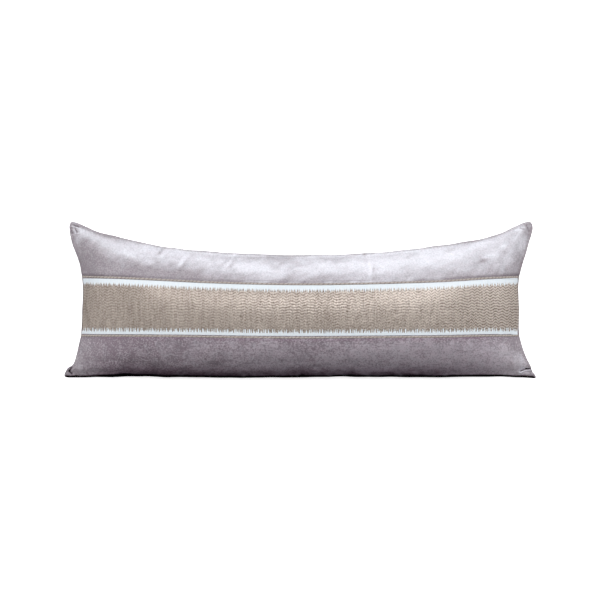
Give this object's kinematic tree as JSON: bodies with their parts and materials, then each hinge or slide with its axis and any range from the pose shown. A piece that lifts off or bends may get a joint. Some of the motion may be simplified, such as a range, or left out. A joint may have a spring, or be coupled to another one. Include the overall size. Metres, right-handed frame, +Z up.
{
  "type": "lumbar pillow",
  "caption": "Long filled velvet lumbar pillow with a zigzag-woven band let into its face from end to end, narrow edgings, a knife-edge seam and small ears.",
  "frame": {"origin": "on the surface the pillow lies on, under the middle of its outline", "axes": "+X along the pillow, +Y across it towards the seam that curves in, +Z up out of the face"},
  "size_m": [0.8958, 0.2952, 0.1473],
  "materials": {
    "velvet": "mauve-grey short-pile velvet with a soft sheen",
    "jacquard": "champagne satin thread in fine zigzag rows, with an icy white stripe along each long edge",
    "edging": "taupe woven edging"
  },
  "bodies": {
    "root": {"velvet_cushion": "velvet", "jacquard_band": "jacquard", "upper_edging": "edging", "lower_edging": "edging"}
  },
  "joints": []
}
